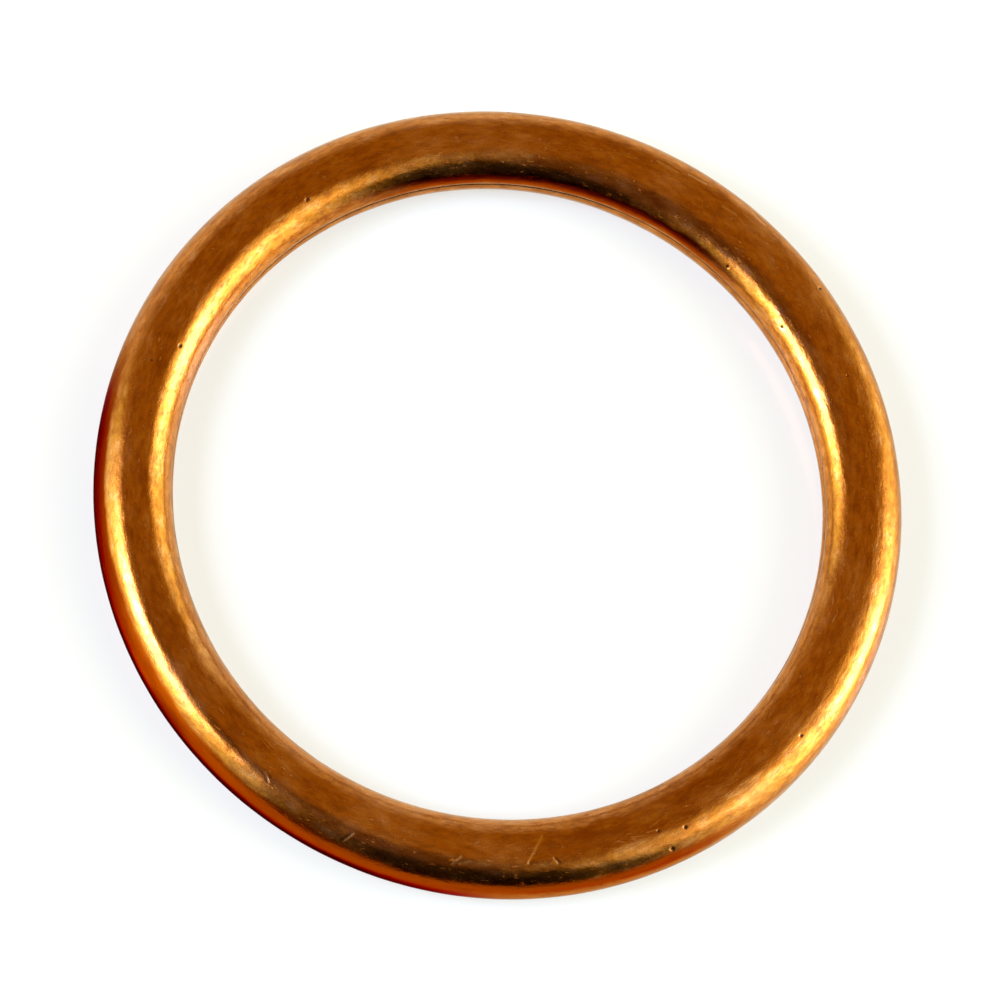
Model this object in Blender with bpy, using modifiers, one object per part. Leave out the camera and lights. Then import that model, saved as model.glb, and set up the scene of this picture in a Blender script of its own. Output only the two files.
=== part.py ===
"""Copper crush washer, one piece.

A strip of soft copper is rolled round on itself into a hollow ring. Its two edges
turn in and meet in a seam on the bore side, a little above half height. The sides
are half round, and narrow flat lands at the top and the bottom are what seals.
The origin is on the ring's axis at the lower land, and +Z is the ring's axis.
"""

import math

import bmesh
import bpy

# Driving dimensions, in metres
BORE_DIAMETER = 0.0305
RING_HEIGHT = 0.0032
LAND_WIDTH = 0.00055
STRIP_THICKNESS = 0.0004

# The seam, where the strip's two edges meet
SEAM_RISE = 0.00028
SEAM_GAP = 0.00012
LIP_BEND_RADIUS = 0.00055
LIP_BEND_ANGLE = math.radians(40)

# Fineness of the facets
TURN_STEPS = 72
BEND_STEP = math.radians(15)
SHARP_ANGLE = math.radians(35)
MERGE_DISTANCE = 0.00001

# Finish
COPPER_COLOUR = (0.68, 0.29, 0.10, 1.0)
COPPER_ROUGHNESS = 0.32

# Sizes that follow
HALF_THICKNESS = STRIP_THICKNESS / 2
SIDE_RADIUS = RING_HEIGHT / 2
MIDLINE_RADIUS = SIDE_RADIUS - HALF_THICKNESS
LIP_MIDLINE_RADIUS = LIP_BEND_RADIUS - HALF_THICKNESS
SECTION_CENTRE = BORE_DIAMETER / 2 + SIDE_RADIUS + LAND_WIDTH / 2


def clear_scene():
    for item in list(bpy.data.objects):
        bpy.data.objects.remove(item, do_unlink=True)


def lip_start_angle():
    """The angle from the seam's middle at which a lip starts to turn in.

    It puts the outer corner of the lip's end half the seam's gap from the middle.
    """
    side = MIDLINE_RADIUS - LIP_MIDLINE_RADIUS
    across = side + LIP_BEND_RADIUS * math.cos(LIP_BEND_ANGLE)
    along = LIP_BEND_RADIUS * math.sin(LIP_BEND_ANGLE)
    return math.atan2(along, across) + math.asin(SEAM_GAP / 2 / math.hypot(across, along))


def arc(centre, radius, start, end):
    """Points on an arc of the midline, each with its direction out of the ring's wall."""
    steps = max(2, math.ceil(abs(end - start) / BEND_STEP))
    points = []
    for i in range(steps + 1):
        angle = start + (end - start) * i / steps
        out = (math.cos(angle), math.sin(angle))
        spot = (centre[0] + radius * out[0], centre[1] + radius * out[1])
        points.append((spot, out))
    return points


def lip(side_centre, start, turn):
    """The lip's bend: from the side's arc inwards, by turn."""
    reach = MIDLINE_RADIUS - LIP_MIDLINE_RADIUS
    centre = (
        side_centre[0] + reach * math.cos(start),
        side_centre[1] + reach * math.sin(start),
    )
    return arc(centre, LIP_MIDLINE_RADIUS, start, start + turn)


def strip_midline():
    """The rolled strip's midline, clockwise from the upper lip over the top to the lower lip."""
    bore_side = (-LAND_WIDTH / 2, 0.0)
    outer_side = (LAND_WIDTH / 2, 0.0)
    top = math.pi / 2
    seam = math.pi - math.asin(SEAM_RISE / SIDE_RADIUS)
    upper_start = seam - lip_start_angle()
    lower_start = seam + lip_start_angle()

    upper_lip = lip(bore_side, upper_start, LIP_BEND_ANGLE)
    upper_lip.reverse()
    upper_side = arc(bore_side, MIDLINE_RADIUS, upper_start, top)
    outer = arc(outer_side, MIDLINE_RADIUS, top, -top)
    lower_side = arc(bore_side, MIDLINE_RADIUS, 3 * top, lower_start)
    lower_lip = lip(bore_side, lower_start, -LIP_BEND_ANGLE)
    return upper_lip[:-1] + upper_side + outer + lower_side + lower_lip[1:]


def strip_section():
    """The closed outline of the rolled strip: its outer face, then its inner face back."""
    midline = strip_midline()
    outline = []
    for side, points in ((HALF_THICKNESS, midline), (-HALF_THICKNESS, reversed(midline))):
        for spot, out in points:
            radial = SECTION_CENTRE + spot[0] + side * out[0]
            height = RING_HEIGHT / 2 + spot[1] + side * out[1]
            outline.append((radial, height))
    return outline


def section_mesh(name, outline):
    mesh = bpy.data.meshes.new(name)
    bm = bmesh.new()
    corners = [bm.verts.new((radial, 0.0, height)) for radial, height in outline]
    for i, corner in enumerate(corners):
        bm.edges.new((corner, corners[(i + 1) % len(corners)]))
    bm.to_mesh(mesh)
    bm.free()
    return mesh


def turn_about_axis(item):
    """Turns the section once round the ring's axis."""
    turned = item.modifiers.new("turned", "SCREW")
    turned.axis = "Z"
    turned.angle = 2 * math.pi
    turned.steps = TURN_STEPS
    turned.render_steps = TURN_STEPS
    turned.screw_offset = 0.0
    turned.use_merge_vertices = True
    turned.merge_threshold = MERGE_DISTANCE
    turned.use_smooth_shade = True


def copper():
    material = bpy.data.materials.new("annealed_copper")
    material.use_nodes = True
    surface = material.node_tree.nodes["Principled BSDF"]
    surface.inputs["Base Color"].default_value = COPPER_COLOUR
    surface.inputs["Metallic"].default_value = 1.0
    surface.inputs["Roughness"].default_value = COPPER_ROUGHNESS
    return material


def crush_washer(collection):
    """The washer as a mesh of its own, with its lands and its lips' corners left sharp."""
    profile = bpy.data.objects.new("section", section_mesh("section", strip_section()))
    collection.objects.link(profile)
    turn_about_axis(profile)
    evaluated = profile.evaluated_get(bpy.context.evaluated_depsgraph_get())
    mesh = bpy.data.meshes.new_from_object(evaluated)
    bpy.data.objects.remove(profile, do_unlink=True)

    mesh.name = "crush_washer"
    mesh.shade_smooth()
    mesh.set_sharp_from_angle(angle=SHARP_ANGLE)
    mesh.materials.clear()
    mesh.materials.append(copper())
    ring = bpy.data.objects.new("crush_washer", mesh)
    collection.objects.link(ring)
    return ring


clear_scene()
parts = bpy.data.collections.new("copper_crush_washer")
bpy.context.scene.collection.children.link(parts)
crush_washer(parts)
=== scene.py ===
import math

import bmesh
import bpy
from mathutils import Matrix, Vector, kdtree


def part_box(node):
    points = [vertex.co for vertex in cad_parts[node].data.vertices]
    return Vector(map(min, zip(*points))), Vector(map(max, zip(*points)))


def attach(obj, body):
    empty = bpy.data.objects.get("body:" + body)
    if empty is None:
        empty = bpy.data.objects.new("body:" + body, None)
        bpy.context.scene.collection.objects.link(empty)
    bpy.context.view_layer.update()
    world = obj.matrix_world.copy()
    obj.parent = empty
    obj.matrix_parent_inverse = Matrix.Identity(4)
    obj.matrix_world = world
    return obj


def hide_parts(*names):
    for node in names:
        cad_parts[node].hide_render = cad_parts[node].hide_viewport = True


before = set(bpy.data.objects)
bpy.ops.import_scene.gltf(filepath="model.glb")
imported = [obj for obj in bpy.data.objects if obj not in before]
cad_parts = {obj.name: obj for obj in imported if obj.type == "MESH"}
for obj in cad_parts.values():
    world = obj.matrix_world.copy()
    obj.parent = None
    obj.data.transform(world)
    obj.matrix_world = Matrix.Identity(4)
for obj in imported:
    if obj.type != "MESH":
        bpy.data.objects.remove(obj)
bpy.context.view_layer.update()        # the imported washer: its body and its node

# The washer as it leaves the ring die: one strip of soft copper 0.4 mm thick, rolled round on itself
# until its two sheared edges turn in and meet on the bore side, a little above half height. The
# rolled section is turned once about the ring's axis.

MILLIMETRE = 0.001
LAND_WIDTH = 0.55 * MILLIMETRE
STRIP_THICKNESS = 0.4 * MILLIMETRE
SEAM_RISE = 0.28 * MILLIMETRE
SEAM_GAP = 0.007 * MILLIMETRE
LIP_BEND_RADIUS = 0.55 * MILLIMETRE
LIP_BEND_ANGLE = math.radians(40)
EDGE_ROUNDING = 0.014 * MILLIMETRE

ring_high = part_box("crush_washer")[1]
OUTSIDE_RADIUS = ring_high.x
RING_HEIGHT = ring_high.z
SIDE_RADIUS = RING_HEIGHT / 2
SECTION_RADIUS = OUTSIDE_RADIUS - SIDE_RADIUS - LAND_WIDTH / 2

FINE_STEP = math.radians(5)
LIP_STEP = math.radians(10)
INSIDE_STEP = math.radians(30)
CORNER_STEP = math.radians(40)
LAND_STEPS = 4
TURN_STEPS = 720


def arc(centre, radius, start, end, step):
    """Points of an arc of the section, from start to end, as distances across and up."""
    count = max(2, math.ceil(abs(end - start) / step))
    angles = [start + (end - start) * i / count for i in range(count + 1)]
    return [(centre[0] + radius * math.cos(a), centre[1] + radius * math.sin(a)) for a in angles]


def land(height, start, end):
    """Points between the ends of a flat land."""
    return [(start + (end - start) * i / LAND_STEPS, height) for i in range(1, LAND_STEPS)]


def lip_start():
    """How far from the seam's middle, as an angle, each lip starts to turn in."""
    across = SIDE_RADIUS - LIP_BEND_RADIUS + LIP_BEND_RADIUS * math.cos(LIP_BEND_ANGLE)
    along = LIP_BEND_RADIUS * math.sin(LIP_BEND_ANGLE)
    return math.atan2(along, across) + math.asin(SEAM_GAP / 2 / math.hypot(across, along))


def lip_corner(bend_centre, face_radius, side, start, turn):
    """The rounded corner of a lip's sheared end and its bend, from the end's face to the side."""
    radius = face_radius - side * EDGE_ROUNDING
    pull_back = math.copysign(math.asin(EDGE_ROUNDING / radius), turn)
    end = start + turn
    centre = (
        bend_centre[0] + radius * math.cos(end - pull_back),
        bend_centre[1] + radius * math.sin(end - pull_back),
    )
    square = end + math.copysign(math.pi / 2, turn)
    level = end - pull_back if side > 0 else end - pull_back + math.copysign(math.pi, turn)
    corner = arc(centre, EDGE_ROUNDING, square, level, CORNER_STEP)
    return corner[:-1] + arc(bend_centre, face_radius, end - pull_back, start, LIP_STEP)


def strip_face(side, inset, step):
    """A face of the rolled strip, outer (1) or inner (-1), from the upper lip over the top to the lower."""
    bore_side = (-LAND_WIDTH / 2, 0.0)
    outer_side = (LAND_WIDTH / 2, 0.0)
    top = math.pi / 2
    seam = math.pi - math.asin(SEAM_RISE / SIDE_RADIUS)
    upper, lower = seam - lip_start(), seam + lip_start()
    reach = SIDE_RADIUS - LIP_BEND_RADIUS
    upper_bend = (bore_side[0] + reach * math.cos(upper), reach * math.sin(upper))
    lower_bend = (bore_side[0] + reach * math.cos(lower), reach * math.sin(lower))
    bend, radius = LIP_BEND_RADIUS - inset, SIDE_RADIUS - inset
    return (
        lip_corner(upper_bend, bend, side, upper, LIP_BEND_ANGLE)[:-1]
        + arc(bore_side, radius, upper, top, step)
        + land(radius, bore_side[0], outer_side[0])
        + arc(outer_side, radius, top, -top, step)
        + land(-radius, outer_side[0], bore_side[0])
        + arc(bore_side, radius, 3 * top, lower, step)
        + lip_corner(lower_bend, bend, side, lower, -LIP_BEND_ANGLE)[::-1][1:]
    )


def add_node(tree, kind, settings=None, **inputs):
    """A node with its settings, each of its inputs given a value or joined to a socket."""
    node = tree.nodes.new(kind)
    for name, value in (settings or {}).items():
        setattr(node, name, value)
    for name, value in inputs.items():
        feed(tree, node.inputs[name.replace("_", " ")], value)
    return node


def feed(tree, socket, value):
    """Joins a socket to the one that feeds it, or gives it a plain value."""
    if isinstance(value, bpy.types.NodeSocket):
        tree.links.new(value, socket)
    else:
        socket.default_value = value


def add_sockets(tree, way, **sockets):
    """Names the inputs or outputs of a tree."""
    for name, kind in sockets.items():
        tree.interface.new_socket(name.replace("_", " "), in_out=way, socket_type="NodeSocket" + kind)


def run_tree(tree, start_mesh, values):
    """The plain mesh that a Geometry Nodes tree makes of a start mesh, with its inputs set."""
    carrier = bpy.data.objects.new(tree.name, start_mesh)
    bpy.context.scene.collection.objects.link(carrier)
    modifier = carrier.modifiers.new(tree.name, "NODES")
    modifier.node_group = tree
    for item in tree.interface.items_tree:
        if item.in_out == "INPUT" and item.name in values:
            modifier[item.identifier] = values[item.name]
    evaluated = carrier.evaluated_get(bpy.context.evaluated_depsgraph_get())
    mesh = bpy.data.meshes.new_from_object(evaluated)
    bpy.data.objects.remove(carrier, do_unlink=True)
    return mesh


outer_face = strip_face(1, 0.0, FINE_STEP)
inner_face = strip_face(-1, STRIP_THICKNESS, INSIDE_STEP)
section_points = outer_face + inner_face[::-1]
section_curve = bpy.data.curves.new("strip_section", "CURVE")
section_curve.dimensions = "2D"
outline = section_curve.splines.new("POLY")
outline.points.add(len(section_points) - 1)
for point, (across, up) in zip(outline.points, section_points):
    # Curve to Mesh lays the profile's Y downwards
    point.co = (across, -up - SIDE_RADIUS, 0.0, 1.0)
outline.use_cyclic_u = True
strip_section = bpy.data.objects.new("strip_section", section_curve)
bpy.context.scene.collection.objects.link(strip_section)

turned_strip = bpy.data.node_groups.new("turned_strip", "GeometryNodeTree")
add_sockets(turned_strip, "INPUT", Section="Object", Ring_Radius="Float", Turn_Steps="Int",
            Copper="Material")
add_sockets(turned_strip, "OUTPUT", Ring="Geometry")
given = turned_strip.nodes.new("NodeGroupInput").outputs
section = add_node(turned_strip, "GeometryNodeObjectInfo", Object=given["Section"])
circle = add_node(turned_strip, "GeometryNodeCurvePrimitiveCircle",
                  Resolution=given["Turn Steps"], Radius=given["Ring Radius"])
upright = add_node(turned_strip, "GeometryNodeSetCurveNormal", {"mode": "Z_UP"},
                   Curve=circle.outputs["Curve"])
swept = add_node(turned_strip, "GeometryNodeCurveToMesh",
                 Curve=upright.outputs["Curve"], Profile_Curve=section.outputs["Geometry"])
smooth = add_node(turned_strip, "GeometryNodeSetShadeSmooth", Geometry=swept.outputs["Mesh"])
whole = add_node(turned_strip, "GeometryNodeRealizeInstances", Geometry=smooth.outputs["Geometry"])
coppered = add_node(turned_strip, "GeometryNodeSetMaterial",
                    Geometry=whole.outputs["Geometry"], Material=given["Copper"])
add_node(turned_strip, "NodeGroupOutput", Ring=coppered.outputs["Geometry"])

copper = bpy.data.materials.new("rolled_copper")
copper.use_nodes = True

turned_mesh = run_tree(turned_strip, bpy.data.meshes.new("turned_strip"), {
    "Section": strip_section, "Ring Radius": SECTION_RADIUS, "Turn Steps": TURN_STEPS, "Copper": copper})
bpy.data.objects.remove(strip_section, do_unlink=True)

# What handling left in the soft metal: pits, scratches and rubbed places. Each is placed by its angle
# round the ring, in degrees, and by how far it lies from the middle of the upper land, in millimetres
# over the surface, outwards or, below 0, to the bore. A pit or rubbed place has its radius after that.

PIT_DEPTH = 0.035 * MILLIMETRE
PITS = (
    (123, -0.50, 0.12), (156, -0.67, 0.13), (34, 1.34, 0.12), (46, -1.56, 0.08), (32, -1.45, 0.09),
    (307, -1.53, 0.09), (320, 0.69, 0.10), (293, 0.33, 0.10), (297, 0.69, 0.12), (294, 1.39, 0.12),
    (160, 0.30, 0.08), (20, 0.30, 0.08), (88, 1.95, 0.09), (200, 3.18, 0.11), (250, 3.40, 0.13),
    (12, 3.57, 0.11), (140, 5.02, 0.13), (290, 4.46, 0.11), (188, -3.85, 0.11), (55, -4.18, 0.12),
)
SCRATCH_WIDTH = 0.08 * MILLIMETRE
SCRATCH_DEPTH = 0.012 * MILLIMETRE
SCRATCHES = (
    ((275.0, -0.75), (272.5, 0.55)), ((276.4, 0.39), (277.0, 0.61)), ((230.0, 0.50), (231.4, 0.78)),
    ((245.0, 1.34), (245.9, 0.78)), ((261.3, 0.81), (262.5, 0.39)), ((262.3, 0.75), (264.0, 0.55)),
    ((65, 0.98), (61.5, 0.90)), ((60, 1.12), (57, 1.19)), ((53, 0.62), (50.5, 0.72)),
    ((49, 1.48), (46.5, 1.42)), ((20, 1.95), (26, 2.34)), ((150, 2.23), (152, 2.84)),
    ((100, 2.62), (112, 2.73)),
)
RUBBED_PLACES = (
    (90, 0.4, 3.2), (101, -0.4, 2.4), (64, 0.9, 3.4), (46, 1.1, 3.2), (32, 1.6, 2.2), (342, -1.4, 3.2),
    (322, -1.2, 3.2), (306, 0.4, 3.0), (291, 0.3, 2.8), (270, -0.6, 3.4), (250, -0.5, 3.2),
    (230, -0.4, 3.0), (212, -0.6, 2.2), (175, 2.0, 3.0), (120, 3.1, 3.0), (20, 3.6, 3.0), (220, 4.2, 3.4),
    (60, 4.7, 3.0), (310, 3.9, 3.0),
)
FINE_CUTS = 2
FINE_MARGIN = 0.10 * MILLIMETRE
SCRATCH_POINTS_APART = 0.12 * MILLIMETRE


def on_outside(round_ring, from_top):
    """The point of the washer's outside at an angle round it and a distance from its upper land's middle."""
    turn, over = math.radians(round_ring), from_top * MILLIMETRE
    side = min(max(over, -LAND_WIDTH / 2), LAND_WIDTH / 2)
    lean = (over - side) / SIDE_RADIUS
    out = SECTION_RADIUS + side + SIDE_RADIUS * math.sin(lean)
    return Vector((out * math.cos(turn), out * math.sin(turn), SIDE_RADIUS + SIDE_RADIUS * math.cos(lean)))


def back_onto_outside(point):
    """Moves a new corner of the finer mesh from a flat face of the old one onto the true outside."""
    out = math.hypot(point.x, point.y)
    across, up = out - SECTION_RADIUS, point.z - SIDE_RADIUS
    side = min(max(across, -LAND_WIDTH / 2), LAND_WIDTH / 2)
    stretch = SIDE_RADIUS / math.hypot(across - side, up)
    grown = SECTION_RADIUS + side + (across - side) * stretch
    return Vector((point.x * grown / out, point.y * grown / out, SIDE_RADIUS + up * stretch))


def scratch_points(path):
    """Points close together along a scratch."""
    points = [on_outside(*path[0])]
    for start, end in zip(path, path[1:]):
        length = (on_outside(*end) - on_outside(*start)).length
        count = max(1, round(length / SCRATCH_POINTS_APART))
        for i in range(1, count + 1):
            share = i / count
            place = [a + (b - a) * share for a, b in zip(start, end)]
            points.append(on_outside(*place))
    return points


def round_marks(places):
    """Where round marks lie on the washer's outside, and their radii."""
    points = [on_outside(round_ring, from_top) for round_ring, from_top, radius in places]
    return points, [radius * MILLIMETRE for round_ring, from_top, radius in places]


def helper_object(name, points, edges=(), radii=()):
    """Points with their radii, or lines between points, that a tree reads and that aren't kept."""
    mesh = bpy.data.meshes.new(name)
    mesh.from_pydata(points, edges, [])
    if radii:
        mesh.attributes.new("radius", "FLOAT", "POINT").data.foreach_set("value", radii)
    helper = bpy.data.objects.new(name, mesh)
    bpy.context.scene.collection.objects.link(helper)
    return helper


pit_points, pit_radii = round_marks(PITS)
rubbed_points, rubbed_radii = round_marks(RUBBED_PLACES)
scratch_lines = [scratch_points(path) for path in SCRATCHES]

# The mesh is cut finer round the pits and scratches
finer = bmesh.new()
finer.from_mesh(turned_mesh)
centres = kdtree.KDTree(len(finer.faces))
for face in finer.faces:
    centres.insert(face.calc_center_median(), face.index)
centres.balance()
marks = list(zip(pit_points, pit_radii))
marks += [(point, SCRATCH_WIDTH) for line in scratch_lines for point in line]
near_marks = set()
for point, reach in marks:
    near_marks.update(index for spot, index, gap in centres.find_range(point, reach + FINE_MARGIN))
edges_near_marks = [edge for edge in finer.edges
                    if any(face.index in near_marks for face in edge.link_faces)]
cut = bmesh.ops.subdivide_edges(finer, edges=edges_near_marks, cuts=FINE_CUTS, use_grid_fill=True)
for corner in {part for part in cut["geom_inner"] if isinstance(part, bmesh.types.BMVert)}:
    corner.co = back_onto_outside(corner.co)
finer.to_mesh(turned_mesh)
finer.free()

line_points, line_edges = [], []
for line in scratch_lines:
    first = len(line_points)
    line_points += line
    line_edges += [(i, i + 1) for i in range(first, first + len(line) - 1)]
pits = helper_object("pits", pit_points, radii=pit_radii)
rubs = helper_object("rubs", rubbed_points, radii=rubbed_radii)
scratches = helper_object("scratches", line_points, edges=line_edges)

# The marks and the unevenness of the rolled metal are pressed into the washer's outside: long swells,
# ripples along the strip, shallow dents, and lips that wander along the seam. The upper land is pressed
# flatter on one side of the ring, and the metal that gave way fills the shoulders beside it.


def calculate(tree, operation, *values, clamp=False):
    """A Math node on numbers or sockets."""
    node = tree.nodes.new("ShaderNodeMath")
    node.operation = operation
    node.use_clamp = clamp
    for socket, value in zip(node.inputs, values):
        feed(tree, socket, value)
    return node.outputs[0]


def product(tree, *values):
    """The values multiplied together."""
    total = values[0]
    for value in values[1:]:
        total = calculate(tree, "MULTIPLY", total, value)
    return total


def hypotenuse(tree, first, second):
    """The distance that two distances square to each other make."""
    squares = calculate(tree, "ADD", product(tree, first, first), product(tree, second, second))
    return calculate(tree, "SQRT", squares)


def ease(tree, value, low, high):
    """A smooth step: 0 where the value is at low, 1 where it is at high."""
    node = add_node(tree, "ShaderNodeMapRange", {"interpolation_type": "SMOOTHSTEP"},
                    Value=value, From_Min=low, From_Max=high, To_Min=0.0, To_Max=1.0)
    return node.outputs["Result"]


def ring_place(tree, position):
    """Where a point lies in the section, across and up from its middle, and its turn as two numbers."""
    x, y, z = add_node(tree, "ShaderNodeSeparateXYZ", Vector=position).outputs
    out = hypotenuse(tree, x, y)
    across = calculate(tree, "SUBTRACT", out, SECTION_RADIUS)
    up = calculate(tree, "SUBTRACT", z, SIDE_RADIUS)
    return across, up, calculate(tree, "DIVIDE", x, out), calculate(tree, "DIVIDE", y, out)


def grain(tree, place, length, width, detail, seed, roughness=0.5, windings=0):
    """Noise drawn out along the ring and closed on itself round it, or wound round the strip."""
    across, up, turn_x, turn_y = place
    if windings:
        angle = product(tree, calculate(tree, "ARCTAN2", turn_y, turn_x), float(windings))
        wound = add_node(tree, "ShaderNodeVectorRotate", {"rotation_type": "Z_AXIS"}, Angle=angle,
                         Vector=add_node(tree, "ShaderNodeCombineXYZ", X=across, Y=up).outputs["Vector"])
        across, up = add_node(tree, "ShaderNodeSeparateXYZ", Vector=wound.outputs["Vector"]).outputs[:2]
    stretch = calculate(tree, "DIVIDE", SECTION_RADIUS, length)
    spot = add_node(tree, "ShaderNodeCombineXYZ",
                    X=calculate(tree, "ADD", calculate(tree, "DIVIDE", across, width), seed),
                    Y=calculate(tree, "DIVIDE", up, width),
                    Z=product(tree, turn_x, stretch))
    noise = add_node(tree, "ShaderNodeTexNoise", {"noise_dimensions": "4D"},
                     Vector=spot.outputs["Vector"], W=product(tree, turn_y, stretch),
                     Scale=1.0, Detail=detail, Roughness=roughness)
    return noise.outputs["Fac"]


def about_zero(tree, noise):
    """Noise that is as often below 0 as above it."""
    return calculate(tree, "SUBTRACT", noise, 0.5)


def beside(tree, place, stretch):
    """How near a point is to the middle of a stretch of the ring: 0 past its edge, 1 within its core."""
    turn_x, turn_y = place[2:]
    middle, edge, core = (math.radians(angle) for angle in stretch)
    along = calculate(tree, "MULTIPLY_ADD", turn_x, math.cos(middle),
                      product(tree, turn_y, math.sin(middle)))
    return ease(tree, along, math.cos(edge), math.cos(core))


def bowl(tree, distance, radius):
    """The form of a shallow round hollow: 1 at its middle, 0 at its rim, level at both."""
    share = calculate(tree, "DIVIDE", distance, radius, clamp=True)
    fall = calculate(tree, "SUBTRACT", 1.0, product(tree, share, share))
    return product(tree, fall, fall)


def nearest_bowl(tree, marks, position):
    """The hollow at the nearest of an object's points, each with its own radius."""
    points = add_node(tree, "GeometryNodeObjectInfo", Object=marks).outputs["Geometry"]
    nearest = add_node(tree, "GeometryNodeSampleNearest", Geometry=points).outputs["Index"]
    middle = add_node(tree, "GeometryNodeSampleIndex", {"data_type": "FLOAT_VECTOR"},
                      Geometry=points, Value=position, Index=nearest).outputs["Value"]
    named = add_node(tree, "GeometryNodeInputNamedAttribute", Name="radius").outputs["Attribute"]
    radius = add_node(tree, "GeometryNodeSampleIndex", Geometry=points, Value=named, Index=nearest)
    gap = add_node(tree, "ShaderNodeVectorMath", {"operation": "DISTANCE"})
    feed(tree, gap.inputs[0], position)
    feed(tree, gap.inputs[1], middle)
    return bowl(tree, gap.outputs["Value"], radius.outputs["Value"])


SWELL_DEPTH = 0.035 * MILLIMETRE
SWELL_LENGTH = 9 * MILLIMETRE
SWELL_WIDTH = 2.4 * MILLIMETRE
RIPPLE_DEPTH = 0.020 * MILLIMETRE
RIPPLE_LENGTH = 1.6 * MILLIMETRE
RIPPLE_WIDTH = 0.7 * MILLIMETRE
DENT_DEPTH = 0.03 * MILLIMETRE
DENT_RADIUS = 0.75 * MILLIMETRE
DENT_SPACING = 3.2 * MILLIMETRE
NO_DENT_BELOW = 0.45
FULL_DENT_ABOVE = 0.95
SEED = 7

LIP_WANDER = 0.16 * MILLIMETRE
LIP_PUCKER = 0.03 * MILLIMETRE
WANDER_LENGTH = 7 * MILLIMETRE
PUCKER_LENGTH = 1.3 * MILLIMETRE
# The lips lie at 0 and 1 across the pucker's noise, far apart for this width, so they pucker unlike
PUCKER_WIDTH = 0.1
LIP_REACH = math.radians(42)
LIP_FREE = LIP_REACH / 4
SEAM_STAIN = 0.10 * MILLIMETRE
CHANNEL_START = 0.10 * MILLIMETRE
CHANNEL_FULL = 0.26 * MILLIMETRE

# The flattened side and the one with drawn-in shoulders, each by the angles of its middle round the
# ring and of its edge and its core beside that, in degrees
FLAT_SIDE = (8, 100, 35)
NARROW_SIDE = (190, 80, 40)
CROWN = math.radians(8)
CROWN_END = math.radians(52)
SHOULDER = math.radians(58)
SHOULDER_END = math.radians(92)
SHOULDER_FULLNESS = 0.8
PRESSED_FLAT = 0.068 * MILLIMETRE
PRESSED_NARROW = 0.040 * MILLIMETRE

handled = bpy.data.node_groups.new("handled_copper", "GeometryNodeTree")
add_sockets(handled, "INPUT", Ring="Geometry",
            Swell_Depth="Float", Swell_Length="Float", Swell_Width="Float",
            Ripple_Depth="Float", Ripple_Length="Float", Ripple_Width="Float",
            Dent_Depth="Float", Dent_Radius="Float", Dent_Spacing="Float",
            Lip_Wander="Float", Lip_Pucker="Float", Pressed_Flat="Float", Pressed_Narrow="Float",
            Pits="Object", Pit_Depth="Float", Rubs="Object",
            Scratches="Object", Scratch_Depth="Float", Scratch_Width="Float",
            Copper="Material", Seed="Int")
add_sockets(handled, "OUTPUT", Ring="Geometry")
given = handled.nodes.new("NodeGroupInput").outputs
position = add_node(handled, "GeometryNodeInputPosition").outputs["Position"]
normal = add_node(handled, "GeometryNodeInputNormal").outputs["Normal"]
place = ring_place(handled, position)
across, up, turn_x, turn_y = place

# How deep each point lies under the outside: 0 on it, the strip's thickness on the channel's wall
side = calculate(handled, "MINIMUM", calculate(handled, "MAXIMUM", across, -LAND_WIDTH / 2), LAND_WIDTH / 2)
from_side = calculate(handled, "SUBTRACT", across, side)
depth = calculate(handled, "SUBTRACT", SIDE_RADIUS, hypotenuse(handled, from_side, up))
channel = ease(handled, depth, CHANNEL_START, CHANNEL_FULL)

# Each lip slides up and down the bore's wall: both wander together, and each puckers by itself
lean = calculate(handled, "ARCTAN2", up, product(handled, from_side, -1.0))
from_seam = calculate(handled, "SUBTRACT", lean, math.asin(SEAM_RISE / SIDE_RADIUS))
off_seam = calculate(handled, "ABSOLUTE", from_seam)
on_lip = ease(handled, off_seam, LIP_REACH, LIP_FREE)
on_bore = calculate(handled, "LESS_THAN", across, -LAND_WIDTH / 2)
upper = calculate(handled, "GREATER_THAN", from_seam, 0.0)
seam = product(handled, ease(handled, product(handled, off_seam, SIDE_RADIUS), SEAM_STAIN, 0.0), on_bore)
along_seam = (0.0, 0.0, turn_x, turn_y)
wander = grain(handled, along_seam, WANDER_LENGTH, WANDER_LENGTH, detail=1.0, seed=3.0)
along_each_lip = (upper, 0.0, turn_x, turn_y)
pucker = grain(handled, along_each_lip, PUCKER_LENGTH, PUCKER_WIDTH, detail=2.0, seed=11.0)
slide = calculate(handled, "MULTIPLY_ADD", about_zero(handled, wander), given["Lip Wander"],
                  product(handled, about_zero(handled, pucker), given["Lip Pucker"]))
slide = product(handled, slide, on_lip, on_bore)
slide_across = product(handled, slide, calculate(handled, "SINE", lean))
slide_up = product(handled, slide, calculate(handled, "COSINE", lean))
lip_move = add_node(handled, "ShaderNodeCombineXYZ", X=product(handled, slide_across, turn_x),
                    Y=product(handled, slide_across, turn_y), Z=slide_up)

# On one side the upper land was pressed flat and its shoulders fuller, on the other they were drawn in
from_top = calculate(handled, "ARCTAN2", calculate(handled, "ABSOLUTE", from_side), up)
crown = ease(handled, from_top, CROWN_END, CROWN)
shoulder = product(handled, ease(handled, from_top, SHOULDER_END, SHOULDER),
                   calculate(handled, "SUBTRACT", 1.0, crown))
flat = calculate(handled, "MULTIPLY_ADD", shoulder, -SHOULDER_FULLNESS, crown)
flattened = product(handled, flat, beside(handled, place, FLAT_SIDE), given["Pressed Flat"])
narrowed = product(handled, shoulder, beside(handled, place, NARROW_SIDE), given["Pressed Narrow"])

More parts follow.
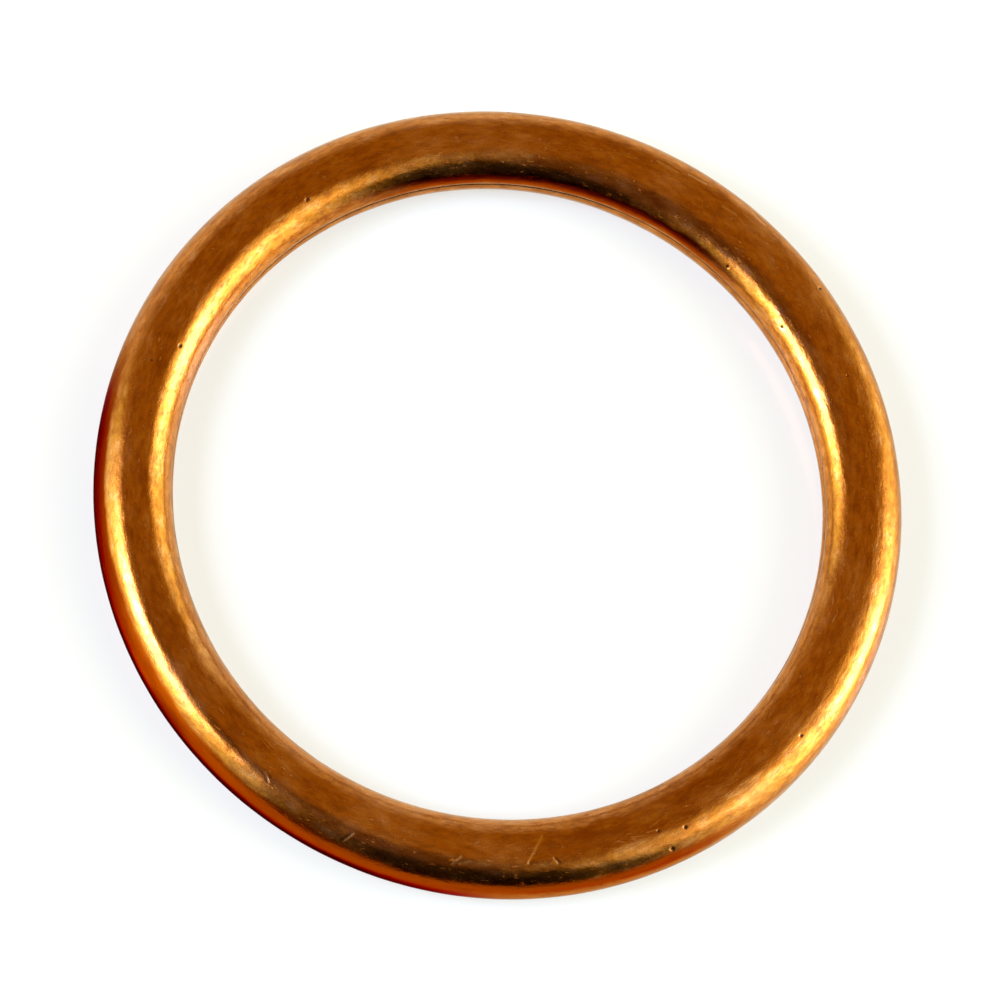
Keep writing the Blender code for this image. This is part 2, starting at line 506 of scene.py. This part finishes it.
# Swells, ripples and dents
swell = grain(handled, place, given["Swell Length"], given["Swell Width"], detail=1.0, seed=20.0)
ripple = grain(handled, place, given["Ripple Length"], given["Ripple Width"], detail=2.0, seed=30.0)
dent_cells = add_node(handled, "ShaderNodeTexVoronoi", Vector=position,
                      Scale=calculate(handled, "DIVIDE", 1.0, given["Dent Spacing"]))
dent_gap = product(handled, dent_cells.outputs["Distance"], given["Dent Spacing"])
chance = add_node(handled, "ShaderNodeTexWhiteNoise", {"noise_dimensions": "4D"},
                  Vector=dent_cells.outputs["Position"], W=given["Seed"]).outputs["Value"]
dent = product(handled, bowl(handled, dent_gap, given["Dent Radius"]),
               ease(handled, chance, NO_DENT_BELOW, FULL_DENT_ABOVE))

# Pits and scratches, and the rubbed places, which change the metal's look alone
pit = nearest_bowl(handled, given["Pits"], position)
rub = nearest_bowl(handled, given["Rubs"], position)
scratch_set = add_node(handled, "GeometryNodeObjectInfo", Object=given["Scratches"]).outputs["Geometry"]
scratch_gap = add_node(handled, "GeometryNodeProximity", {"target_element": "EDGES"},
                       Geometry=scratch_set).outputs["Distance"]
scratch = bowl(handled, scratch_gap, given["Scratch Width"])

pressed = calculate(handled, "ADD", flattened, narrowed)
for form, form_depth in ((swell, "Swell Depth"), (ripple, "Ripple Depth"), (dent, "Dent Depth"),
                         (pit, "Pit Depth"), (scratch, "Scratch Depth")):
    pressed = calculate(handled, "MULTIPLY_ADD", form, given[form_depth], pressed)
pressed = product(handled, pressed, calculate(handled, "SUBTRACT", 1.0, channel))
inward = add_node(handled, "ShaderNodeVectorMath", {"operation": "SCALE"},
                  Scale=product(handled, pressed, -1.0))
feed(handled, inward.inputs[0], normal)
move = add_node(handled, "ShaderNodeVectorMath", {"operation": "ADD"})
feed(handled, move.inputs[0], inward.outputs["Vector"])
feed(handled, move.inputs[1], lip_move.outputs["Vector"])

stored = given["Ring"]
for name, value in (("channel", channel), ("seam", seam), ("pit", pit), ("rub", rub), ("scratch", scratch)):
    keep = add_node(handled, "GeometryNodeStoreNamedAttribute", Geometry=stored, Name=name, Value=value)
    stored = keep.outputs["Geometry"]
moved = add_node(handled, "GeometryNodeSetPosition", Geometry=stored, Offset=move.outputs["Vector"])
smooth = add_node(handled, "GeometryNodeSetShadeSmooth", Geometry=moved.outputs["Geometry"])
whole = add_node(handled, "GeometryNodeRealizeInstances", Geometry=smooth.outputs["Geometry"])
coppered = add_node(handled, "GeometryNodeSetMaterial", Geometry=whole.outputs["Geometry"],
                    Material=given["Copper"])
add_node(handled, "NodeGroupOutput", Ring=coppered.outputs["Geometry"])

ring_mesh = run_tree(handled, turned_mesh, {
    "Swell Depth": SWELL_DEPTH, "Swell Length": SWELL_LENGTH, "Swell Width": SWELL_WIDTH,
    "Ripple Depth": RIPPLE_DEPTH, "Ripple Length": RIPPLE_LENGTH, "Ripple Width": RIPPLE_WIDTH,
    "Dent Depth": DENT_DEPTH, "Dent Radius": DENT_RADIUS, "Dent Spacing": DENT_SPACING,
    "Lip Wander": LIP_WANDER, "Lip Pucker": LIP_PUCKER,
    "Pressed Flat": PRESSED_FLAT, "Pressed Narrow": PRESSED_NARROW,
    "Pits": pits, "Pit Depth": PIT_DEPTH, "Rubs": rubs,
    "Scratches": scratches, "Scratch Depth": SCRATCH_DEPTH, "Scratch Width": SCRATCH_WIDTH,
    "Copper": copper, "Seed": SEED})
for helper in (pits, rubs, scratches):
    bpy.data.objects.remove(helper, do_unlink=True)
ring_mesh.name = "copper_ring"
ring = bpy.data.objects.new("copper_ring", ring_mesh)
bpy.context.scene.collection.objects.link(ring)

# The metal: annealed copper, brown-gold where the die burnished it and rubbed pale where it was
# handled, with a fine grain, short scuffs, dirt in its pits and a browned seam. Two stretches carry a
# painted red reflection, with painted shade in its darkest parts: outside along the front left, and in
# the bore behind, where it is nearly black.

COPPER = (0.52, 0.162, 0.012, 1.0)
BROWNED = (0.34, 0.085, 0.005, 1.0)
SPECKLED = (0.27, 0.060, 0.003, 1.0)
PALE = (0.60, 0.250, 0.075, 1.0)
BARE = (0.72, 0.380, 0.150, 1.0)
SEAM_BROWN = (0.20, 0.040, 0.003, 1.0)
DIRT = (0.060, 0.020, 0.008, 1.0)
DULL = (0.36, 0.110, 0.020, 1.0)
# A painted red reflection, and the near-black painted shade within it
PAINTED_RED_REFLECTION = (0.34, 0.048, 0.001, 1.0)
PAINTED_DEEP_SHADE = (0.11, 0.006, 0.001, 1.0)

# The tint of the metal's rim, where it turns away from the eye
EDGE_TINT = (1.0, 0.92, 0.70, 1.0)
# The rim's tint where the red reflection is painted
PAINTED_REFLECTION_RIM = (0.30, 0.060, 0.020, 1.0)

# The lengths of the patterns in the metal along the ring, and their widths across it
PATCH_SIZE = (9 * MILLIMETRE, 2.5 * MILLIMETRE)
HAZE_SIZE = (3 * MILLIMETRE, 1.1 * MILLIMETRE)
PEEL_SIZE = (2.2 * MILLIMETRE, 0.8 * MILLIMETRE)
FLECK_SIZE = (1.00 * MILLIMETRE, 0.36 * MILLIMETRE)
SPECKLE_SIZE = (0.42 * MILLIMETRE, 0.17 * MILLIMETRE)
SCUFF_SIZE = (0.9 * MILLIMETRE, 0.11 * MILLIMETRE)
CROSS_SCUFF_SIZE = (1.0 * MILLIMETRE, 0.11 * MILLIMETRE)

SCUFFED_EVERYWHERE = 0.12
SCUFFED_WHERE_RUBBED = 0.85
RUBBED_PALE = 0.35
SCUFFED_PALE = 0.50
SCRATCHED_BARE = 0.65
SEAM_BROWNING = 0.30

# Stretches of painted reflection and painted shade, each by the angles of its middle, edge and core, in
# degrees
PAINTED_REFLECTION_STRETCH_OUTSIDE = (232, 80, 60)
PAINTED_REFLECTION_STRETCH_BORE = (78, 40, 22)
FRONT_LEFT = (252, 78, 28)
FRONT_FOOT = (294, 36, 18)
PAINTED_SHADE_STRETCH_FOOT = (212, 52, 34)
PAINTED_SHADE_STRETCH_LEFT = (178, 30, 14)
RAGGEDNESS = 0.5 * MILLIMETRE
DROP_PAST_FRONT_LEFT = 0.05 * MILLIMETRE
FRONT_FOOT_UNPAINTED_SHARE = 0.55
PAINTED_SHADE_LEFT_SHARE = 0.65
PAINTED_SHADE_PATCH_SHARE = 0.55

BURNISHED_ROUGHNESS = 0.16
HANDLED_ROUGHNESS = 0.29
RUBBED_ROUGHENING = 0.06
SPECK_DULLNESS = 0.6
SCUFF_DULLNESS = 0.34
PIT_DULLNESS = 0.7
CHANNEL_DULLNESS = 0.55
SEAM_DULLNESS = 0.38
SPECKLE_WEAR = 0.4
HAZE_WEAR = 0.6
OILY_FILM = 0.20
FILM_ROUGHNESS = 0.12
GRAIN_HEIGHT = 0.004 * MILLIMETRE
FLECK_HEIGHT = 0.020 * MILLIMETRE
PEEL_HEIGHT = 0.024 * MILLIMETRE


def blend(tree, factor, first, second):
    """One colour laid over another."""
    node = tree.nodes.new("ShaderNodeMix")
    node.data_type = "RGBA"
    feed(tree, node.inputs["Factor"], factor)
    feed(tree, next(s for s in node.inputs if s.name == "A" and s.type == "RGBA"), first)
    feed(tree, next(s for s in node.inputs if s.name == "B" and s.type == "RGBA"), second)
    return next(s for s in node.outputs if s.type == "RGBA")


metal = copper.node_tree
shader = metal.nodes["Principled BSDF"]
position = add_node(metal, "ShaderNodeTexCoord").outputs["Object"]
place = ring_place(metal, position)
across, up = place[:2]
kept = {name: add_node(metal, "ShaderNodeAttribute", {"attribute_name": name}).outputs["Fac"]
        for name in ("channel", "seam", "pit", "rub", "scratch")}

patches = grain(metal, place, *PATCH_SIZE, detail=4.0, seed=41.0, roughness=0.6)
haze = grain(metal, place, *HAZE_SIZE, detail=5.0, seed=52.0, roughness=0.65)
peel = grain(metal, place, *PEEL_SIZE, detail=2.0, seed=85.0)
flecks = grain(metal, place, *FLECK_SIZE, detail=4.0, seed=63.0, roughness=0.6)
speckle = grain(metal, place, *SPECKLE_SIZE, detail=3.0, seed=74.0, roughness=0.65)
scuffs_one_way = grain(metal, place, *SCUFF_SIZE, detail=2.0, seed=96.0, windings=2)
scuffs_other_way = grain(metal, place, *CROSS_SCUFF_SIZE, detail=2.0, seed=107.0, windings=-3)
scuffs = calculate(metal, "MAXIMUM", ease(metal, scuffs_one_way, low=0.56, high=0.70),
                   ease(metal, scuffs_other_way, low=0.56, high=0.70))
scuffs = product(metal, scuffs, calculate(metal, "MULTIPLY_ADD", kept["rub"], SCUFFED_WHERE_RUBBED,
                                          SCUFFED_EVERYWHERE))
rubbed = product(metal, kept["rub"], ease(metal, haze, low=0.35, high=0.65))

# Where the painted reflection and shade lie. Its heights are measured from half the washer's height, and are
# uneven
ragged_up = calculate(metal, "MULTIPLY_ADD", haze, RAGGEDNESS,
                      calculate(metal, "SUBTRACT", up, RAGGEDNESS / 2))


def reached(height, edge, full):
    """How strong the painted reflection and shade are at a height: 0 at their edge and 1 where they are
    full, both in millimetres.
    """
    return ease(metal, height, edge * MILLIMETRE, full * MILLIMETRE)


outside = calculate(metal, "GREATER_THAN", across, 0.0)
in_bore = calculate(metal, "SUBTRACT", 1.0, outside)
off_front_left = calculate(metal, "SUBTRACT", 1.0, beside(metal, place, FRONT_LEFT))
painted_reflection_up = calculate(metal, "MULTIPLY_ADD", off_front_left, DROP_PAST_FRONT_LEFT, ragged_up)
# Painted red reflection outside along the front left, weaker at the front foot
front_foot = product(metal, outside, beside(metal, place, FRONT_FOOT),
                     reached(ragged_up, edge=0.75, full=0.40))
painted_reflection_outside = product(metal, outside, beside(metal, place, PAINTED_REFLECTION_STRETCH_OUTSIDE),
                          reached(painted_reflection_up, edge=1.20, full=1.00),
                          reached(ragged_up, edge=-1.30, full=-0.60),
                          calculate(metal, "MULTIPLY_ADD", front_foot, -FRONT_FOOT_UNPAINTED_SHARE, 1.0))
# Painted red reflection in the bore behind
painted_reflection_in_bore = product(metal, in_bore, beside(metal, place, PAINTED_REFLECTION_STRETCH_BORE),
                          reached(ragged_up, edge=1.15, full=0.95),
                          reached(ragged_up, edge=0.38, full=0.66))
painted_reflection = calculate(metal, "ADD", painted_reflection_outside, painted_reflection_in_bore)
# Painted shade, near black: at the outside foot, along the left, in patches outside and high in the bore
painted_shade_foot = product(metal, outside, beside(metal, place, PAINTED_SHADE_STRETCH_FOOT),
                     reached(ragged_up, edge=0.50, full=0.12))
painted_shade_left = product(metal, outside, beside(metal, place, PAINTED_SHADE_STRETCH_LEFT), PAINTED_SHADE_LEFT_SHARE)
painted_shade_patches = product(metal, outside, ease(metal, patches, low=0.48, high=0.62), PAINTED_SHADE_PATCH_SHARE)
painted_shade = product(metal, in_bore, reached(ragged_up, edge=0.58, full=0.84))
for stain in (painted_shade_foot, painted_shade_left, painted_shade_patches):
    painted_shade = calculate(metal, "MAXIMUM", painted_shade, stain)


def mottle(colour, tint, pattern, low, high, share):
    """A colour with a tint laid over it where a pattern is high, by a share at most."""
    return blend(metal, product(metal, ease(metal, pattern, low, high), share), colour, tint)


colour = mottle(COPPER, BROWNED, patches, low=0.42, high=0.68, share=0.60)
colour = mottle(colour, SPECKLED, flecks, low=0.46, high=0.72, share=0.75)
colour = mottle(colour, PALE, flecks, low=0.50, high=0.30, share=0.75)
colour = mottle(colour, SPECKLED, speckle, low=0.42, high=0.70, share=0.75)
colour = blend(metal, product(metal, rubbed, RUBBED_PALE), colour, PALE)
colour = blend(metal, product(metal, scuffs, SCUFFED_PALE), colour, PALE)
colour = blend(metal, product(metal, kept["scratch"], SCRATCHED_BARE), colour, BARE)
# The painted red reflection, near black where painted shade lies in it
colour = blend(metal, painted_reflection, colour, blend(metal, painted_shade, PAINTED_RED_REFLECTION, PAINTED_DEEP_SHADE))
colour = blend(metal, product(metal, kept["seam"], SEAM_BROWNING), colour, SEAM_BROWN)
colour = blend(metal, ease(metal, kept["pit"], low=0.10, high=0.60), colour, DIRT)
colour = blend(metal, kept["channel"], colour, DULL)
feed(metal, shader.inputs["Base Color"], colour)
shader.inputs["Metallic"].default_value = 1.0
# The rim's tint is darker under the painted reflection, and pale at the front foot
painted_rim_tint = blend(metal, front_foot, PAINTED_REFLECTION_RIM, PALE)
feed(metal, shader.inputs["Specular Tint"], blend(metal, painted_reflection, EDGE_TINT, painted_rim_tint))

wear = calculate(metal, "MULTIPLY_ADD", speckle, SPECKLE_WEAR, product(metal, haze, HAZE_WEAR))
roughness = add_node(metal, "ShaderNodeMapRange", Value=wear, From_Min=0.35, From_Max=0.65,
                     To_Min=BURNISHED_ROUGHNESS, To_Max=HANDLED_ROUGHNESS).outputs["Result"]
roughness = calculate(metal, "MULTIPLY_ADD", rubbed, RUBBED_ROUGHENING, roughness)
dull_specks = ease(metal, speckle, low=0.47, high=0.78)
for mark, dullness in ((dull_specks, SPECK_DULLNESS), (scuffs, SCUFF_DULLNESS), (kept["pit"], PIT_DULLNESS),
                       (kept["channel"], CHANNEL_DULLNESS), (kept["seam"], SEAM_DULLNESS)):
    roughness = calculate(metal, "MAXIMUM", roughness, product(metal, mark, dullness))
feed(metal, shader.inputs["Roughness"], roughness)

height = product(metal, speckle, GRAIN_HEIGHT)
height = calculate(metal, "MULTIPLY_ADD", flecks, FLECK_HEIGHT, height)
height = calculate(metal, "MULTIPLY_ADD", peel, PEEL_HEIGHT, height)
bump = add_node(metal, "ShaderNodeBump", Strength=1.0, Distance=1.0, Height=height)
feed(metal, shader.inputs["Normal"], bump.outputs["Normal"])

# No oily film where the reflection is painted, nor in the channel
filmed = calculate(metal, "SUBTRACT", 1.0, calculate(metal, "MAXIMUM", painted_reflection, kept["channel"]))
feed(metal, shader.inputs["Coat Weight"], product(metal, filmed, OILY_FILM))
shader.inputs["Coat Roughness"].default_value = FILM_ROUGHNESS
feed(metal, shader.inputs["Coat Normal"], bump.outputs["Normal"])

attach(ring, "root")
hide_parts("crush_washer")

# The floor: a sheet of white paper that the washer lies on. It is white to the camera and in the
# metal, and it keeps the washer's soft shadow.

FLOOR_SIZE = 3.0
FLOOR_DROP = 0.01 * MILLIMETRE
PAPER = (0.35, 0.325, 0.215, 1.0)
PAPER_ROUGHNESS = 0.22
PAPER_GLOW = 0.55
WHITE = (1.0, 1.0, 1.0, 1.0)

half = FLOOR_SIZE / 2
floor_corners = [(-half, -half, -FLOOR_DROP), (half, -half, -FLOOR_DROP),
                 (half, half, -FLOOR_DROP), (-half, half, -FLOOR_DROP)]
floor_mesh = bpy.data.meshes.new("floor")
floor_mesh.from_pydata(floor_corners, [], [(0, 1, 2, 3)])
paper = bpy.data.materials.new("white_paper")
paper.use_nodes = True
sheet = paper.node_tree
surface = sheet.nodes["Principled BSDF"]
surface.inputs["Base Color"].default_value = PAPER
surface.inputs["Roughness"].default_value = PAPER_ROUGHNESS
surface.inputs["Emission Color"].default_value = WHITE
path = add_node(sheet, "ShaderNodeLightPath").outputs
seen = calculate(sheet, "ADD", path["Is Camera Ray"],
                 calculate(sheet, "ADD", path["Is Glossy Ray"], path["Is Transmission Ray"]), clamp=True)
feed(sheet, surface.inputs["Emission Strength"], product(sheet, seen, PAPER_GLOW))
floor_mesh.materials.append(paper)
floor = bpy.data.objects.new("floor", floor_mesh)
bpy.context.scene.collection.objects.link(floor)

# The light: a soft box on the left and one on the right of the washer, each with a smaller, bluer lamp
# before it, in a warm room that is pale near its horizon, bright on the walls behind the boxes and dim
# in front, where the camera stands.

BOX_COLOUR = (0.90, 1.05, 1.35)
LAMP_COLOUR = (0.80, 1.05, 3.00)
SOFT_BOX_DISTANCE = 0.5


def towards(azimuth, zenith):
    """The direction at two angles in degrees: round from the picture's right, and down from above."""
    turn, lean = math.radians(azimuth), math.radians(zenith)
    return Vector((math.cos(turn) * math.sin(lean), math.sin(turn) * math.sin(lean), math.cos(lean)))


def soft_box(name, azimuth, zenith, width, height, radiance, colour):
    """A soft box that faces the washer."""
    lamp = bpy.data.lights.new(name, "AREA")
    lamp.shape = "RECTANGLE"
    lamp.size = width
    lamp.size_y = height
    lamp.energy = radiance * math.pi * width * height
    lamp.color = colour
    box = bpy.data.objects.new(name, lamp)
    out = towards(azimuth, zenith)
    box.location = out * SOFT_BOX_DISTANCE
    box.rotation_euler = out.to_track_quat("Z", "Y").to_euler()
    bpy.context.scene.collection.objects.link(box)


soft_box("left_box", azimuth=187, zenith=50, width=0.34, height=0.36, radiance=3.4, colour=BOX_COLOUR)
soft_box("left_lamp", azimuth=187, zenith=48, width=0.19, height=0.25, radiance=9.5, colour=LAMP_COLOUR)
soft_box("right_box", azimuth=353, zenith=59, width=0.38, height=0.46, radiance=2.6, colour=BOX_COLOUR)
soft_box("right_lamp", azimuth=355, zenith=62, width=0.12, height=0.26, radiance=8.5, colour=LAMP_COLOUR)

CEILING = (0.48, 0.290, 0.006, 1.0)
HORIZON = (1.00, 1.050, 1.050, 1.0)
RIGHT_GLOW = (2.50, 3.200, 2.600, 1.0)
LEFT_GLOW = (2.10, 2.800, 2.200, 1.0)
OVERHEAD_GLOW = (1.60, 1.800, 1.300, 1.0)
DIM_FRONT = (0.13, 0.055, 0.012, 1.0)
DARK_FRONT = (0.006, 0.001, 0.001, 1.0)
LOW_FRONT = (0.25, 0.100, 0.020, 1.0)
CEILING_RISE = 0.62

world = bpy.data.worlds.new("studio")
bpy.context.scene.world = world
world.use_nodes = True
room = world.node_tree
look = add_node(room, "ShaderNodeTexCoord").outputs["Generated"]
rise = add_node(room, "ShaderNodeSeparateXYZ", Vector=look).outputs["Z"]


def toward(azimuth, zenith, edge, core):
    """How near a line of sight is to a direction: 0 past the edge, 1 within the core, in degrees."""
    along = add_node(room, "ShaderNodeVectorMath", {"operation": "DOT_PRODUCT"})
    feed(room, along.inputs[0], look)
    feed(room, along.inputs[1], towards(azimuth, zenith))
    return ease(room, along.outputs["Value"], math.cos(math.radians(edge)), math.cos(math.radians(core)))


colour = blend(room, ease(room, rise, CEILING_RISE, 0.0), CEILING, HORIZON)
colour = blend(room, toward(azimuth=267, zenith=90, edge=51, core=25), colour, LOW_FRONT)
colour = blend(room, toward(azimuth=245, zenith=49, edge=58, core=46), colour, DIM_FRONT)
colour = blend(room, toward(azimuth=277, zenith=65, edge=36, core=27), colour, DARK_FRONT)
colour = blend(room, toward(azimuth=342, zenith=40, edge=30, core=6), colour, OVERHEAD_GLOW)
colour = blend(room, toward(azimuth=357, zenith=78, edge=50, core=20), colour, RIGHT_GLOW)
colour = blend(room, toward(azimuth=187, zenith=68, edge=42, core=15), colour, LEFT_GLOW)
feed(room, room.nodes["Background"].inputs["Color"], colour)

# The camera: nearly above the washer, as in the photograph, and leaning to its lower left.

VIEW_TILT = math.radians(17.5)
VIEW_SIDE = math.radians(-27.5)
VIEW_DISTANCE = 0.33
FRAME_WIDTH = 0.04657
SENSOR_WIDTH = 36
NEAREST_SEEN = 0.01
FARTHEST_SEEN = 10

camera_data = bpy.data.cameras.new("camera")
camera_data.sensor_width = SENSOR_WIDTH
camera_data.lens = SENSOR_WIDTH * VIEW_DISTANCE / FRAME_WIDTH
camera_data.clip_start = NEAREST_SEEN
camera_data.clip_end = FARTHEST_SEEN
camera = bpy.data.objects.new("camera", camera_data)
to_camera = Vector((math.sin(VIEW_SIDE) * math.sin(VIEW_TILT),
                    -math.cos(VIEW_SIDE) * math.sin(VIEW_TILT), math.cos(VIEW_TILT)))
long_axis = Vector((math.cos(VIEW_SIDE), math.sin(VIEW_SIDE), 0))
short_axis = to_camera.cross(long_axis)
picture_right = long_axis * math.cos(VIEW_SIDE) - short_axis * math.sin(VIEW_SIDE)
picture_up = to_camera.cross(picture_right)
turn = Matrix((picture_right, picture_up, to_camera)).transposed()
ring_middle = Vector((0, 0, SIDE_RADIUS))
camera.matrix_world = Matrix.Translation(ring_middle + to_camera * VIEW_DISTANCE) @ turn.to_4x4()
bpy.context.scene.collection.objects.link(camera)
bpy.context.scene.camera = camera
bpy.context.scene.view_settings.view_transform = "Standard"
